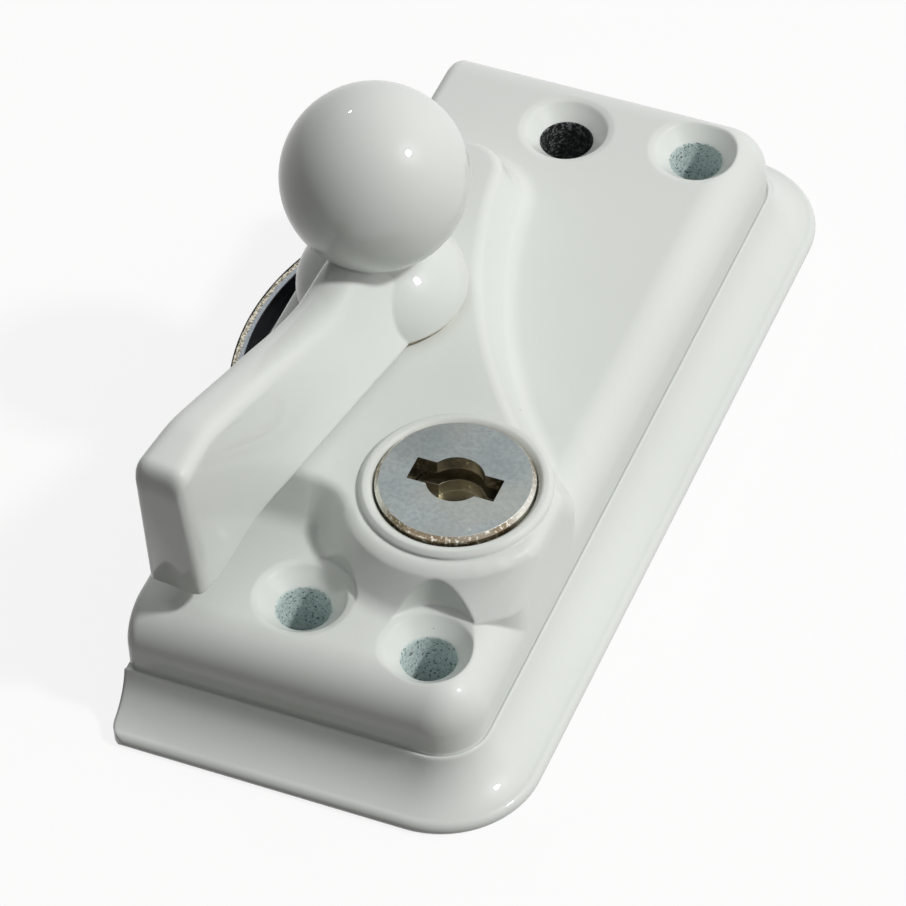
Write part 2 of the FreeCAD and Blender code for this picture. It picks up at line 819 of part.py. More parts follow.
def make_barrel():
    """Turned steel lock barrel with a bevelled face and a winged keyhole."""
    seat = head_top - head_height
    points = [
        V(0, 0, barrel_bottom),
        V(barrel_r, 0, barrel_bottom),
        V(barrel_r, 0, seat),
        V(head_r, 0, seat),
        V(head_r, 0, head_top - head_bevel),
        V(head_r - head_bevel, 0, head_top),
        V(0, 0, head_top),
    ]
    body = revolve(polygon(points), lock)
    chamber = cylinder(chamber_r, barrel_bottom - 1, head_top - face_thick, lock)
    keyhole = key_shape(head_top - face_thick - 1, head_top + 1)
    bottom = barrel_groove_bottom()
    groove = tube(barrel_r + 1, barrel_r - ring_groove_depth, bottom, bottom + ring_thick, lock)
    return body.cut([chamber, keyhole, groove])


def key_shape(bottom, top):
    """Round shank with two square wings across the body."""
    half_span = key_wing_span / 2
    half = key_wing_width / 2
    wings = box(lock_x - half_span, lock_x + half_span, lock_y - half, lock_y + half, bottom, top)
    return cylinder(key_shank_r, bottom, top, lock).fuse(wings)


def make_follower():
    """Brass follower that the key's wings turn."""
    head_bottom = follower_top - follower_head
    head = cylinder(chamber_r - follower_clearance, head_bottom, follower_top, lock)
    stem = cylinder(follower_r, cam_top + seat_gap, head_bottom, lock)
    square = square_bar(follower_square, follower_r, cam_bottom + 0.2, cam_top + seat_gap, lock)
    square = turned(square, lock, lever_rest_angle())
    socket = key_shape(follower_top - key_socket_depth, follower_top + 1)
    thread = cylinder(screw_r, cam_bottom - 1, cam_bottom + screw_length + 0.3, lock)
    return head.fuse([stem, square]).cut([socket, thread]).removeSplitter()


def make_follower_bush():
    """Bush pressed into the barrel's open end under the follower's head."""
    top = follower_top - follower_head - seat_gap
    return tube(chamber_r, follower_r + follower_clearance, barrel_bottom, top, lock)


def lever_rest_angle():
    """Direction of the lever when the lock is open."""
    line = pivot.sub(lock)
    return math.degrees(math.atan2(line.y, line.x)) + key_travel


def make_lever():
    """Locking lever, drawn along +X and then turned to its open place."""
    half = lever_width / 2
    reach = lever_reach()
    bar = box(lock_x, lock_x + reach + 1, lock_y - half, lock_y + half, cam_bottom, cam_top)
    bar = bar.common(cylinder(reach, cam_bottom, cam_top, lock))
    lever = bar.fuse(cylinder(lever_hub_r, cam_bottom, cam_top, lock)).removeSplitter()
    size = follower_square / 2 + square_clearance
    hole = box(lock_x - size, lock_x + size, lock_y - size, lock_y + size, cam_bottom - 1, cam_top + 1)
    return turned(lever.cut(hole), lock, lever_rest_angle())


def make_lever_washer():
    """Washer under the locking lever."""
    top = cam_bottom - seat_gap
    return tube(lever_washer_r, screw_r + 0.1, top - lever_washer_thick, top, lock)


def make_lever_screw():
    """Slotted screw that holds the lever on the follower."""
    seat = cam_bottom - lever_washer_thick - 2 * seat_gap
    head = cylinder(screw_head_r, seat - screw_head_height, seat, lock)
    rim = [edge for edge in head.Edges if edge.BoundBox.ZMax < seat - screw_head_height / 2]
    head = head.makeChamfer(screw_head_height * 0.3, rim)
    shank = cylinder(screw_r, seat - 0.1, cam_bottom + screw_length, lock)
    half = screw_slot_width / 2
    low = seat - screw_head_height
    reach = screw_head_r * 2
    slot = box(lock_x - reach, lock_x + reach, lock_y - half, lock_y + half, low - 1, low + screw_slot_depth)
    return head.fuse(shank).cut(slot).removeSplitter()


def barrel_groove_bottom():
    """Height of the ring groove on the barrel."""
    return lock_sleeve_bottom - ring_thick - seat_gap


def main():
    """Make every piece and write one file for each."""
    washer_bottom = platform_height + (arm_gap - hub_washer_thick) / 2
    washer_top = washer_bottom + hub_washer_thick
    thrust_top = cam_bottom - seat_gap
    ring_out = thrust_washer_r - 0.3
    parts = {
        "housing": make_housing(),
        "swing_arm": make_arm(),
        "pivot_spindle": make_spindle(),
        "hub_washer": tube(hub_washer_r, journal_r + 0.1, washer_bottom, washer_top, pivot),
        "hook_cam": make_hook_cam(),
        "disc_spring": make_disc_spring(),
        "thrust_washer": tube(
            thrust_washer_r, journal_r + 0.1, thrust_top - thrust_washer_thick, thrust_top, pivot
        ),
        "spindle_ring": open_ring(ring_core_r(), ring_out, ring_groove_bottom(), pivot, 90),
        "lock_barrel": make_barrel(),
        "barrel_ring": open_ring(
            barrel_r - ring_groove_depth, barrel_ring_r, barrel_groove_bottom(), lock, 30
        ),
        "key_follower": make_follower(),
        "follower_bush": make_follower_bush(),
        "locking_lever": make_lever(),
        "lever_washer": make_lever_washer(),
        "lever_screw": make_lever_screw(),
    }
    os.makedirs("parts", exist_ok=True)
    for name, shape in parts.items():
        box_size = shape.BoundBox
        print(
            name, shape.ShapeType, "solids", len(shape.Solids), "valid", shape.isValid(),
            "volume", round(shape.Volume, 1),
            "z", round(box_size.ZMin, 2), round(box_size.ZMax, 2),
        )
        shape.exportStep("parts/" + name + ".step")


left_screws = mirrored_pair(left_hole_x, left_hole_inset)
right_screws = mirrored_pair(right_hole_x, right_hole_inset)
main()
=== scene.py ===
"""Looks of the window pivot lock: materials, swing arm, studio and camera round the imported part."""
import json
import math

import bmesh
import bpy
from mathutils import Matrix, Vector


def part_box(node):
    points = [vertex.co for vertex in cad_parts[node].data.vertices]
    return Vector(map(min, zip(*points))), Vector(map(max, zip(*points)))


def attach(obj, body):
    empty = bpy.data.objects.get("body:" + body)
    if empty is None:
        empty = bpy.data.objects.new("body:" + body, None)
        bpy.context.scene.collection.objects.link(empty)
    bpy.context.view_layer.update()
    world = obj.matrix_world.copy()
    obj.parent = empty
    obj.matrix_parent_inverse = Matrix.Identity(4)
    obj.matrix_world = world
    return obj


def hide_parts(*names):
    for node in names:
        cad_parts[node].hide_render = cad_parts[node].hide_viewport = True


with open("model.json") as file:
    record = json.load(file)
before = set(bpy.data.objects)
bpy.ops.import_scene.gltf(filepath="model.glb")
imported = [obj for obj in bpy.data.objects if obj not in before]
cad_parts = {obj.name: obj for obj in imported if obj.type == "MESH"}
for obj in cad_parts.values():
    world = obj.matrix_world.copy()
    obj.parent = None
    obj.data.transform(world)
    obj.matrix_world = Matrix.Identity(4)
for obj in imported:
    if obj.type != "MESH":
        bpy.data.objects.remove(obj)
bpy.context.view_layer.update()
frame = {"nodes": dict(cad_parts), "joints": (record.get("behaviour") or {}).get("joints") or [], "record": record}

MM = 0.001

# The camera that fits the photograph, in the part's own frame
CAMERA_PLACE = Vector((0.12435, -0.27779, 0.32774))
CAMERA_TURN = math.radians(24.725)
CAMERA_DROP = math.radians(47.089)
CAMERA_ROLL = math.radians(-3.303)
CAMERA_LENS = 211.5
CAMERA_SENSOR = 36.0
CAMERA_NEAREST = 0.01

# Directions of the main lamp and of a small glint, from the highlights on the ball
SUN_FROM = Vector((0.657, 0.106, 0.746))
GLINT_FROM = Vector((-0.554, 0.48, 0.68))

# Sky: its colour, its middle level, and how much brighter it gets towards +x, +y and +z
SKY_COLOUR = (1.0, 0.975, 0.955, 1)
SKY_LEVEL = 0.31
SKY_SLOPE = (0.30, 0.29, 0.04)
SKY_SEEN = (1, 1, 1, 1)

# Floor: its colour where it is seen and for the light it throws back, and how white it is made
FLOOR_REACH = 3.0
FLOOR_GAP = 0.05 * MM
FLOOR_PALE = (0.92, 0.92, 0.92)
FLOOR_BOUNCE = (0.14, 0.133, 0.12)
FLOOR_ROUGH = 0.9
FLOOR_WHITE_SHARE = 0.86

# Screw bores, near and far, of the left pair and then of the right pair
BOLT_PATTERNS = [mount for mount in frame["record"]["mounts"] if mount["kind"] == "bolt_pattern"]
SCREWS = [
    (mount["pos_m"][0], side * mount["dims"]["spacing_y_mm"] / 2 * MM)
    for mount in BOLT_PATTERNS
    for side in (-1, 1)
]
# Far left bore, whose inside is painted nearly black as painted shade
SHADED_SCREW = SCREWS[1]
BARE_R = BOLT_PATTERNS[0]["dims"]["hole_r_mm"] * MM + 0.07 * MM

# The hook's upturned rim: the axis and radius of its outside, and its sheared top edge
RIM_CENTRE = (0.9 * MM, 0.9 * MM)
RIM_R = 22.8 * MM
RIM_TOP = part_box("hook_cam")[1][2]
SHEARED_FROM, SHEARED_FULL = RIM_TOP - 0.2 * MM, RIM_TOP - 0.08 * MM
TORN_FROM, TORN_FULL = RIM_R - 0.54 * MM, RIM_R - 0.46 * MM
# Outermost band of the top edge, painted nearly black as painted shade
SHADED_RIM_FROM, SHADED_RIM_FULL = RIM_R - 0.16 * MM, RIM_R - 0.12 * MM
RIM_WANDER = 0.25 * MM

# The lock barrel's flat face, above its bevel
LOCK_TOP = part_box("lock_barrel")[1][2]
FACE_FROM, FACE_FULL = LOCK_TOP - 0.03 * MM, LOCK_TOP - 0.01 * MM

# Radii that soften edges in the shading
COAT_EDGE = 0.45 * MM
SHEET_EDGE = 0.12 * MM
LOCK_EDGE = 0.05 * MM
METAL_EDGE = 0.08 * MM
EDGE_SAMPLES = 12

# Depth of each relief
WAVE_DEPTH = 0.05 * MM
PEEL_DEPTH = 0.004 * MM
BARE_DEPTH = 0.12 * MM
TORN_DEPTH = 0.1 * MM
BRUSH_DEPTH = 0.01 * MM
SATIN_DEPTH = 0.006 * MM
METAL_DEPTH = 0.015 * MM

# Roughness, one value or the two that a noise goes between, and the coat's gloss
COAT_ROUGH = (0.34, 0.46)
COAT_GLOSS = 0.55
COAT_SPECULAR = 0.25
GLOSS_ROUGH = 0.02
BARE_ROUGH = 0.6
SHEET_ROUGH = (0.24, 0.48)
TORN_ROUGH = 0.6
SATIN_ROUGH = (0.42, 0.55)
BEVEL_ROUGH = 0.2

# The swing arm, in millimetres: it turns on the pivot and points along the near side
ARM_JOINT = next(joint for joint in frame["joints"] if joint["name"] == "arm_swing")
PIVOT = Vector([value / MM for value in ARM_JOINT["pos_m"]])
ARM_TURN = math.radians(5.0)
ARM_AHEAD = Vector((-math.sin(ARM_TURN), -math.cos(ARM_TURN), 0))
ARM_ACROSS = Vector((math.cos(ARM_TURN), -math.sin(ARM_TURN), 0))

# Hub, neck and ball, and the socket that the spindle is pressed into
HUB_FOOT = 15.02
HUB_SKIRT = 0.6
HUB_R = 7.15
HUB_BREAK = 0.3
DOME_RISE = 5.5
NECK_R = 1.1
BALL_R = 7.8
BALL_MIDDLE = Vector((0, 27.8))
SOCKET_R = 3.0
SOCKET_DEPTH = 4.5
KNOB_SIDES = 96
DOME_STEPS = 12
NECK_STEPS = 8
BALL_STEPS = 40
ANGLE_ERROR = 1e-6

# Reach and height of the belly, reach and height of the ridge, half width below and above
ARM_STATIONS = [
    (1.0, HUB_FOOT, 1.0, 23.2, 5.45, 1.65),
    (6.0, HUB_FOOT, 6.0, 22.9, 5.2, 1.6),
    (10.0, HUB_FOOT, 10.2, 22.55, 4.8, 1.6),
    (14.0, HUB_FOOT, 14.6, 23.6, 4.45, 1.6),
    (18.0, HUB_FOOT, 19.0, 25.05, 4.1, 1.65),
    (22.0, HUB_FOOT, 23.4, 26.35, 3.8, 1.75),
    (25.5, 14.95, 27.4, 27.55, 3.45, 1.85),
    (28.5, 14.1, 30.8, 28.45, 3.1, 1.95),
    (31.0, 12.9, 33.2, 28.5, 2.85, 2.1),
    (33.0, 12.55, 35.4, 28.4, 2.65, 2.25),
]
ARM_REACH = ARM_STATIONS[-1][0]
ARM_STEPS = 6

# Sideways lean of belly and ridge at the end, and how far their corners are cut back
ARM_LEAN = (-0.5, 0.3)
BELLY_CUT = 0.6
RIDGE_CUT = 1.35
CORNER_STEPS = 5

# Round end of the arm: its radius, and the shares of it that nose, foot and flanks give way
ARM_END_R = 1.5
END_STEPS = 6
NOSE_SHARE = 2.0
FOOT_SHARE = 0.2
FLANK_SHARE = 0.5
CUT_SHARE = 0.5
SHARP_ANGLE = math.radians(32)


class Nodes:
    """Small helper that adds and links shader nodes."""

    def __init__(self, name):
        self.material = bpy.data.materials.new(name)
        self.material.use_nodes = True
        self.tree = self.material.node_tree
        self.shader = self.tree.nodes["Principled BSDF"]
        self.coordinates = self.add("ShaderNodeTexCoord").outputs["Object"]

    def add(self, kind, **settings):
        node = self.tree.nodes.new(kind)
        for key, value in settings.items():
            setattr(node, key, value)
        return node

    def feed(self, value, socket):
        """Links an output to a socket, or sets a plain value."""
        if isinstance(value, bpy.types.NodeSocket):
            self.tree.links.new(value, socket)
        else:
            socket.default_value = value

    def math(self, operation, a, b=0.0):
        node = self.add("ShaderNodeMath", operation=operation)
        self.feed(a, node.inputs[0])
        self.feed(b, node.inputs[1])
        return node.outputs[0]

    def noise(self, scale, detail=2.0, rough=0.5, stretch=None):
        vector = self.coordinates
        if stretch:
            mapping = self.add("ShaderNodeMapping")
            self.feed(self.coordinates, mapping.inputs["Vector"])
            mapping.inputs["Scale"].default_value = stretch
            vector = mapping.outputs["Vector"]
        node = self.add("ShaderNodeTexNoise")
        self.feed(vector, node.inputs["Vector"])
        node.inputs["Scale"].default_value = scale
        node.inputs["Detail"].default_value = detail
        node.inputs["Roughness"].default_value = rough
        return node.outputs["Fac"]

    def step(self, value, low, high):
        """0 below low, 1 above high, straight between."""
        node = self.add("ShaderNodeMapRange")
        self.feed(value, node.inputs["Value"])
        node.inputs["From Min"].default_value = low
        node.inputs["From Max"].default_value = high
        return node.outputs["Result"]

    def axis(self, which):
        node = self.add("ShaderNodeSeparateXYZ")
        self.feed(self.coordinates, node.inputs[0])
        return node.outputs[which]

    def distance_in_plan(self, place):
        """Distance from an upright axis."""
        dx = self.math("SUBTRACT", self.axis("X"), place[0])
        dy = self.math("SUBTRACT", self.axis("Y"), place[1])
        square = self.math("ADD", self.math("MULTIPLY", dx, dx), self.math("MULTIPLY", dy, dy))
        return self.math("SQRT", square)

    def mix(self, factor, a, b):
        """Colour mix."""
        node = self.add("ShaderNodeMix", data_type="RGBA")
        self.feed(factor, node.inputs["Factor"])
        for value, name in ((a, "A"), (b, "B")):
            socket = [s for s in node.inputs if s.name == name and s.type == "RGBA"][0]
            linked = isinstance(value, bpy.types.NodeSocket)
            self.feed(value if linked else (*value, 1.0), socket)
        return [s for s in node.outputs if s.type == "RGBA"][0]

    def mix_value(self, factor, a, b):
        """Number mix."""
        node = self.add("ShaderNodeMix", data_type="FLOAT")
        self.feed(factor, node.inputs["Factor"])
        for value, name in ((a, "A"), (b, "B")):
            socket = [s for s in node.inputs if s.name == name and s.type == "VALUE"][0]
            self.feed(value, socket)
        return [s for s in node.outputs if s.type == "VALUE"][0]

    def part(self, mask, strength):
        """A mask at part strength."""
        return self.math("MULTIPLY", mask, strength)

    def specks(self, scale, size, share, strength):
        """Sparse round specks: the strength inside a speck, 0 outside."""
        node = self.add("ShaderNodeTexVoronoi")
        self.feed(self.coordinates, node.inputs["Vector"])
        node.inputs["Scale"].default_value = scale
        inside = self.math("LESS_THAN", node.outputs["Distance"], size)
        split = self.add("ShaderNodeSeparateColor")
        self.feed(node.outputs["Color"], split.inputs[0])
        chosen = self.math("LESS_THAN", split.outputs[0], share)
        return self.part(self.math("MULTIPLY", inside, chosen), strength)

    def bump(self, height, distance, normal):
        node = self.add("ShaderNodeBump")
        self.feed(height, node.inputs["Height"])
        node.inputs["Distance"].default_value = distance
        node.inputs["Strength"].default_value = 1.0
        self.feed(normal, node.inputs["Normal"])
        return node.outputs["Normal"]

    def soft_edges(self, radius):
        node = self.add("ShaderNodeBevel", samples=EDGE_SAMPLES)
        node.inputs["Radius"].default_value = radius
        return node.outputs["Normal"]

    def set(self, name, value):
        self.feed(value, self.shader.inputs[name])


def bare_zinc(n, grain):
    """Mask and colour of the uncoated screw bores. The far left one is painted nearly black as painted shade down
    the hole.
    """
    dull, bright, pit = (0.54, 0.65, 0.64), (0.76, 0.85, 0.84), (0.15, 0.18, 0.19)
    # Painted shade: a nearly black colour for the far left bore, with the grey grain seen in it
    bore_shade, shaded_grain = (0.012, 0.013, 0.013), (0.22, 0.25, 0.25)
    bare = None
    for place in SCREWS:
        inside = n.math("LESS_THAN", n.distance_in_plan(place), BARE_R)
        bare = inside if bare is None else n.math("MAXIMUM", bare, inside)
    zinc = n.mix(n.step(grain, low=0.40, high=0.60), dull, bright)
    pitted = n.step(n.noise(scale=4200, detail=1.0), low=0.62, high=0.66)
    zinc = n.mix(pitted, zinc, pit)
    # Painted shade: the far left bore gets the nearly black colour instead of lit zinc
    in_shaded_bore = n.math("LESS_THAN", n.distance_in_plan(SHADED_SCREW), BARE_R)
    dark = n.mix(n.step(grain, low=0.52, high=0.60), bore_shade, shaded_grain)
    return bare, n.mix(in_shaded_bore, zinc, dark)


def white_coat(name, with_bores):
    """Gloss powder coat on die-cast zinc, bare in the screw bores."""
    dull, bright, dirt = (0.675, 0.708, 0.68), (0.705, 0.738, 0.71), (0.16, 0.14, 0.11)
    n = Nodes(name)
    tone = n.noise(scale=38, detail=3.0)
    white = n.mix(n.step(tone, low=0.3, high=0.7), dull, bright)
    pits = n.specks(scale=620, size=0.07, share=0.012, strength=0.8)
    dust = n.specks(scale=300, size=0.05, share=0.02, strength=0.5)
    colour = n.mix(n.math("MAXIMUM", pits, dust), white, dirt)
    roughness = n.mix_value(n.noise(scale=90), *COAT_ROUGH)
    waves = n.bump(n.noise(scale=75, detail=1.0), WAVE_DEPTH, n.soft_edges(COAT_EDGE))
    relief = n.bump(n.noise(scale=900), PEEL_DEPTH, waves)
    gloss = COAT_GLOSS
    if with_bores:
        grain = n.noise(scale=3200, detail=3.0, rough=0.7)
        bare, zinc = bare_zinc(n, grain)
        colour = n.mix(bare, colour, zinc)
        roughness = n.mix_value(bare, roughness, BARE_ROUGH)
        gloss = n.mix_value(bare, gloss, 0.0)
        relief = n.bump(n.math("MULTIPLY", grain, bare), BARE_DEPTH, relief)
    n.set("Base Color", colour)
    n.set("Roughness", roughness)
    n.set("Normal", relief)
    n.set("Coat Weight", gloss)
    n.set("Coat Roughness", GLOSS_ROUGH)
    n.set("Specular IOR Level", COAT_SPECULAR)
    return n.material


def sheared_edge(n, grain):
    """Colour of the rim's top edge: burnished inside, torn further out, and a dark outline that is painted shade.
    """
    cut_dark, cut_light = (0.30, 0.33, 0.36), (0.46, 0.50, 0.53)
    torn_dark, torn_light = (0.17, 0.15, 0.115), (0.86, 0.82, 0.68)
    # Painted shade: nearly black for the rim's outer band, where its outer face is in shade
    outline = (0.03, 0.03, 0.03)
    torn = n.mix(n.step(grain, low=0.4, high=0.6), torn_dark, torn_light)
    cut = n.mix(n.step(grain, low=0.3, high=0.7), cut_dark, cut_light)
    uneven = n.math("SUBTRACT", n.noise(scale=700), 0.5)
    out = n.math("ADD", n.distance_in_plan(RIM_CENTRE), n.math("MULTIPLY", uneven, RIM_WANDER))
    edge = n.mix(n.step(out, TORN_FROM, TORN_FULL), cut, torn)
    return n.mix(n.step(out, SHADED_RIM_FROM, SHADED_RIM_FULL), edge, outline)


def plated_sheet(name):
    """Zinc-plated sheet with grainy sheared edges, its colour kept very dark all over as painted shade."""
    # Painted shade: both colours are kept very dark so that the inside of the rim reads black
    dark, light, rust = (0.07, 0.073, 0.08), (0.19, 0.195, 0.21), (0.06, 0.045, 0.035)
    n = Nodes(name)
    grain = n.noise(scale=4200, detail=3.0, rough=0.75)
    brushed = n.noise(scale=260, detail=3.0, rough=0.6, stretch=(1.0, 1.0, 6.0))
    base = n.mix(n.step(brushed, low=0.3, high=0.7), dark, light)
    stain = n.step(n.noise(scale=160, detail=3.0), low=0.56, high=0.66)
    base = n.mix(n.part(stain, 0.5), base, rust)
    sheared = n.step(n.axis("Z"), SHEARED_FROM, SHEARED_FULL)
    relief = n.bump(n.math("MULTIPLY", grain, sheared), TORN_DEPTH, n.soft_edges(SHEET_EDGE))
    n.set("Base Color", n.mix(sheared, base, sheared_edge(n, grain)))
    n.set("Roughness", n.mix_value(sheared, n.mix_value(brushed, *SHEET_ROUGH), TORN_ROUGH))
    n.set("Metallic", 1.0)
    n.set("Normal", n.bump(brushed, BRUSH_DEPTH, relief))
    return n.material


def lock_steel(name):
    """Satin face, mottled and flecked, above a bevel whose streaks are partly real tarnish and partly painted
    reflection, with bright flecks that are painted highlights.
    """
    satin_dark, satin_light, scratch = (0.31, 0.345, 0.35), (0.38, 0.41, 0.41), (0.20, 0.22, 0.22)
    fleck, yellowed = (0.66, 0.66, 0.62), (0.36, 0.36, 0.31)
    tarnish, clean, bright = (0.24, 0.19, 0.125), (0.74, 0.72, 0.66), (0.88, 0.85, 0.76)
    n = Nodes(name)
    fine = n.noise(scale=2600, detail=3.0, rough=0.7)
    blotch = n.noise(scale=240, detail=3.0)
    satin = n.mix(n.step(blotch, low=0.3, high=0.7), satin_dark, satin_light)
    satin = n.mix(n.part(n.step(fine, low=0.40, high=0.62), 0.35), satin, scratch)
    satin = n.mix(n.specks(scale=1100, size=0.17, share=0.06, strength=0.5), satin, fleck)
    warm = n.step(n.noise(scale=130, detail=1.0), low=0.50, high=0.62)
    satin = n.mix(n.part(warm, 0.4), satin, yellowed)
    # Partly real tarnish, partly painted reflection: dark and clean streaks round the bevel
    tarnish_and_sheen = n.step(n.noise(scale=170, detail=1.0), low=0.40, high=0.60)
    # Painted highlights: bright flecks on the bevel
    painted_glints = n.step(n.noise(scale=2600, detail=2.0, rough=0.7), low=0.52, high=0.68)
    bevel = n.mix(painted_glints, n.mix(tarnish_and_sheen, tarnish, clean), bright)
    face = n.step(n.axis("Z"), FACE_FROM, FACE_FULL)
    n.set("Base Color", n.mix(face, bevel, satin))
    n.set("Roughness", n.mix_value(face, BEVEL_ROUGH, n.mix_value(fine, *SATIN_ROUGH)))
    n.set("Metallic", 1.0)
    n.set("Normal", n.bump(fine, SATIN_DEPTH, n.soft_edges(LOCK_EDGE)))
    return n.material


def turned_metal(name, dark, light, smooth, rough):
    """Plain turned or stamped metal with grain and stains."""
    n = Nodes(name)
    grain = n.noise(scale=1100, detail=3.0, rough=0.7)
    stain = n.noise(scale=330, detail=3.0)
    n.set("Base Color", n.mix(n.step(stain, low=0.3, high=0.7), dark, light))
    n.set("Roughness", n.mix_value(grain, smooth, rough))
    n.set("Metallic", 1.0)
    n.set("Normal", n.bump(grain, METAL_DEPTH, n.soft_edges(METAL_EDGE)))
    return n.material


def rounded(corners, cuts):
    """Closed outline with its corners rounded from the cut distance each side."""
    points = []
    for i, corner in enumerate(corners):
        before = (corners[i - 1] - corner).normalized() * cuts[i] + corner
        after = (corners[(i + 1) % len(corners)] - corner).normalized() * cuts[i] + corner
        for k in range(CORNER_STEPS + 1):
            t = k / CORNER_STEPS
            points.append(before * (1 - t) ** 2 + corner * 2 * t * (1 - t) + after * t ** 2)
    return points


def between(stations, i, t):
    """Smooth value between station i and the next one."""
    last = len(stations) - 1
    a, b, c, d = (stations[min(max(k, 0), last)] for k in range(i - 1, i + 3))
    return tuple(
        q
        + (r - p) * t / 2
        + (2 * p - 5 * q + 4 * r - s) * t ** 2 / 2
        + (3 * q - p - 3 * r + s) * t ** 3 / 2
        for p, q, r, s in zip(a, b, c, d)
    )


def arm_ring(station, inset=0.0, ahead=0.0):
    """Points round the arm at one station, as a rounded trapezium that may lean."""
    low_reach, low_z, high_reach, high_z, half_low, half_high = station
    low = ARM_AHEAD * (low_reach + ahead) + Vector((0, 0, low_z))
    high = ARM_AHEAD * (high_reach + ahead) + Vector((0, 0, high_z))
    share = (low_reach / ARM_REACH) ** 2
    low += ARM_ACROSS * ARM_LEAN[0] * share
    high += ARM_ACROSS * ARM_LEAN[1] * share
    rise = (high - low).normalized()
    height = (high - low).length - inset * NOSE_SHARE
    foot = inset * FOOT_SHARE
    pull = inset * FLANK_SHARE
    corners = [
        Vector((half_low - pull, foot)),
        Vector((half_high - pull, height)),
        Vector((pull - half_high, height)),
        Vector((pull - half_low, foot)),
    ]
    cuts = [size * (1 - inset * CUT_SHARE) for size in (BELLY_CUT, RIDGE_CUT, RIDGE_CUT, BELLY_CUT)]
    return [PIVOT + low + ARM_ACROSS * p.x + rise * p.y for p in rounded(corners, cuts)]


def arc(centre, radius, start, end, steps):
    """Points of an arc after its first one."""
    angles = [start + (end - start) * k / steps for k in range(1, steps + 1)]
    return [centre + Vector((math.cos(a), math.sin(a))) * radius for a in angles]


def dome_point(angle):
    """Point (radius, height) of the hub's dome, a quarter ellipse above a short skirt."""
    return Vector((HUB_R * math.cos(angle), HUB_FOOT + HUB_SKIRT + DOME_RISE * math.sin(angle)))


def neck_touch():
    """Where the neck's arc touches the dome: the angle, the way out from there, the arc's centre."""
    low, high = 0.0, math.pi / 2
    while high - low > ANGLE_ERROR:
        angle = (low + high) / 2
        out = Vector((math.cos(angle) / HUB_R, math.sin(angle) / DOME_RISE)).normalized()
        centre = dome_point(angle) + out * NECK_R
        if (centre - BALL_MIDDLE).length > BALL_R + NECK_R:
            low = angle
        else:
            high = angle
    return angle, out, centre


def knob_outline():
    """Outline of hub, neck and ball as (radius, height), from the socket to the top."""
    socket_top = HUB_FOOT + SOCKET_DEPTH
    points = [
        Vector((0, socket_top)),
        Vector((SOCKET_R, socket_top)),
        Vector((SOCKET_R, HUB_FOOT)),
        Vector((HUB_R - HUB_BREAK, HUB_FOOT)),
        Vector((HUB_R, HUB_FOOT + HUB_BREAK)),
    ]
    angle, out, centre = neck_touch()
    points += [dome_point(angle * k / DOME_STEPS) for k in range(DOME_STEPS + 1)]
    to_ball = BALL_MIDDLE - centre
    start = math.atan2(-out.y, -out.x) % math.tau
    end = math.atan2(to_ball.y, to_ball.x) % math.tau
    points += arc(centre, NECK_R, start, end, NECK_STEPS)
    first = math.atan2(-to_ball.y, -to_ball.x)
    return points + arc(BALL_MIDDLE, BALL_R, first, math.pi / 2, BALL_STEPS)


def mesh_object(name, points, faces):
    """Object from points in millimetres, with its faces turned outwards."""
    mesh = bpy.data.meshes.new(name)
    mesh.from_pydata([p * MM for p in points], [], faces)
    body = bmesh.new()
    body.from_mesh(mesh)
    bmesh.ops.recalc_face_normals(body, faces=body.faces)
    body.to_mesh(mesh)
    body.free()
    piece = bpy.data.objects.new(name, mesh)
    bpy.context.scene.collection.objects.link(piece)
    return piece


def make_knob():
    """Turned hub and ball."""
    outline = knob_outline()
    points, faces = [PIVOT + Vector((0, 0, outline[0].y))], []
    rows = outline[1:-1]
    for p in rows:
        for k in range(KNOB_SIDES):
            a = math.tau * k / KNOB_SIDES
            points.append(PIVOT + Vector((p.x * math.cos(a), p.x * math.sin(a), p.y)))
    points.append(PIVOT + Vector((0, 0, outline[-1].y)))
    top = len(points) - 1
    last = 1 + (len(rows) - 1) * KNOB_SIDES
    for k in range(KNOB_SIDES):
        after = (k + 1) % KNOB_SIDES
        faces.append((0, 1 + k, 1 + after))
        for here in range(1, last, KNOB_SIDES):
            above = here + KNOB_SIDES
            faces.append((here + k, above + k, above + after, here + after))
        faces.append((last + k, top, last + after))
    return mesh_object("knob", points, faces)


def make_blade():
    """Tapering blade with a narrow rising ridge, drafted flanks and a rounded end."""
    rings = []
    for i in range(len(ARM_STATIONS) - 1):
        for k in range(ARM_STEPS):
            rings.append(arm_ring(between(ARM_STATIONS, i, k / ARM_STEPS)))
    for k in range(END_STEPS + 1):
        a = math.pi / 2 * k / END_STEPS
        inset, ahead = ARM_END_R * (1 - math.cos(a)), ARM_END_R * math.sin(a)
        rings.append(arm_ring(ARM_STATIONS[-1], inset, ahead))
    size = len(rings[0])
    points = [p for ring in rings for p in ring]
    faces = [tuple(range(size)), tuple(reversed(range(len(points) - size, len(points))))]
    for row in range(len(rings) - 1):
        for k in range(size):
            after = (k + 1) % size
            here, ahead = row * size, (row + 1) * size
            faces.append((here + after, here + k, ahead + k, ahead + after))
    return mesh_object("blade", points, faces)


def make_arm(material):
    """One casting of blade and knob that stands for the plainer CAD arm."""
    knob, blade = make_knob(), make_blade()
    joined = knob.modifiers.new("join", "BOOLEAN")
    joined.operation = "UNION"
    joined.solver = "EXACT"
    joined.object = blade
    bpy.context.view_layer.update()
    finished = knob.evaluated_get(bpy.context.evaluated_depsgraph_get())
    mesh = bpy.data.meshes.new_from_object(finished)
    for piece in (knob, blade):
        bpy.data.objects.remove(piece)
    mesh.shade_smooth()
    mesh.set_sharp_from_angle(angle=SHARP_ANGLE)
    mesh.materials.clear()
    mesh.materials.append(material)
    arm = bpy.data.objects.new("arm_casting", mesh)
    bpy.context.scene.collection.objects.link(arm)
    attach(arm, "arm")
    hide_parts("swing_arm")


